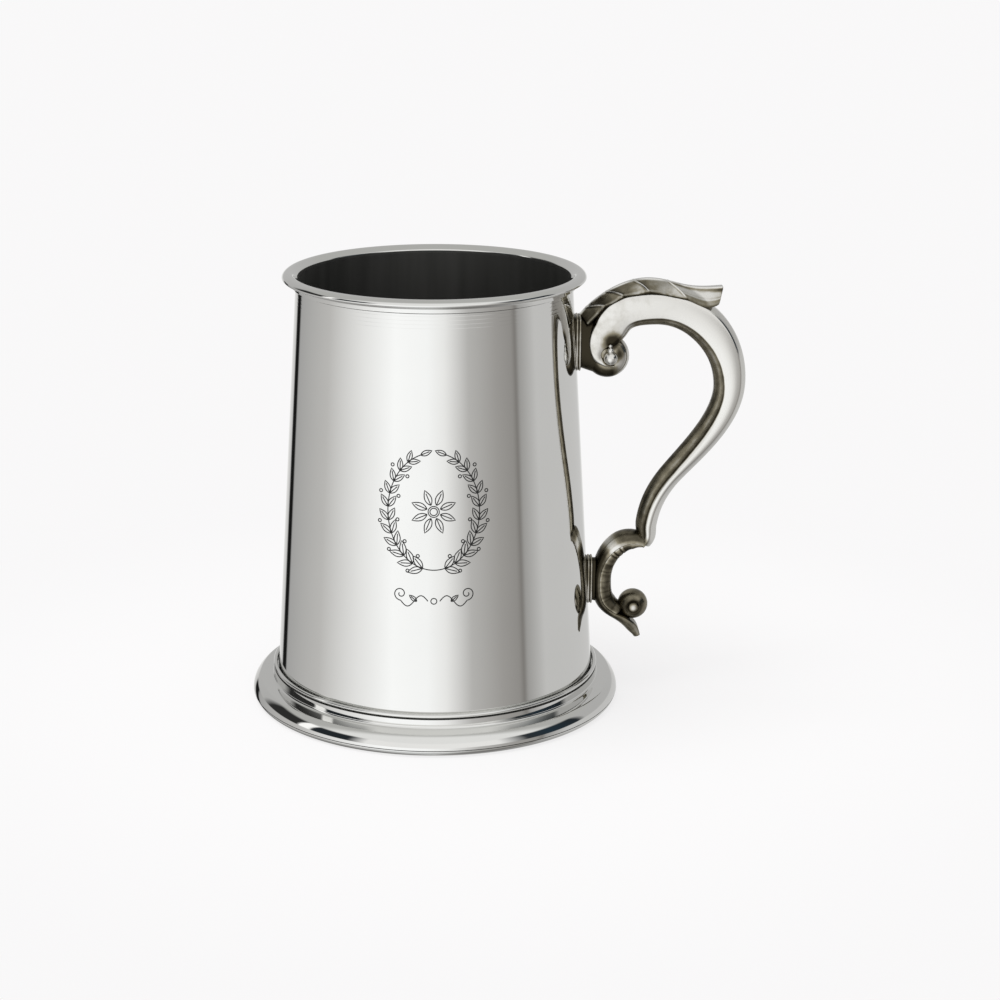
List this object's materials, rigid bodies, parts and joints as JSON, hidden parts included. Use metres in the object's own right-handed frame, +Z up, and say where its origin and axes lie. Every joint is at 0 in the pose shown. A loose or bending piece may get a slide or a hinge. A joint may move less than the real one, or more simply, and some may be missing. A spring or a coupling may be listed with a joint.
{
  "type": "tankard",
  "caption": "Lidless pint tankard in polished pewter: tapered barrel, flared rim, spreading moulded foot, and a cast double-scroll handle with thumb leaf, volute and ball.",
  "frame": {"origin": "on the table, under the middle of the cup and handle together", "axes": "+Z up along the cup's axis, +X towards the handle, +Y across the handle"},
  "size_m": [0.1394, 0.1052, 0.123],
  "materials": {
    "polished_pewter": "mirror polished",
    "dull_pewter": "dull, as spun",
    "cast_pewter": "buffed, with darkened recesses"
  },
  "bodies": {
    "root": {"barrel": "polished_pewter", "rim_moulding": "polished_pewter", "foot_skirt": "polished_pewter", "foot_bead": "polished_pewter", "floor_disc": "dull_pewter", "upper_lug": "cast_pewter", "lower_lug": "cast_pewter", "handle_limb": "cast_pewter", "volute_eye_near": "cast_pewter", "volute_eye_far": "cast_pewter", "thumb_leaf": "cast_pewter", "lower_scroll": "cast_pewter", "scroll_leaf": "cast_pewter", "scroll_ball": "cast_pewter"}
  },
  "joints": []
}
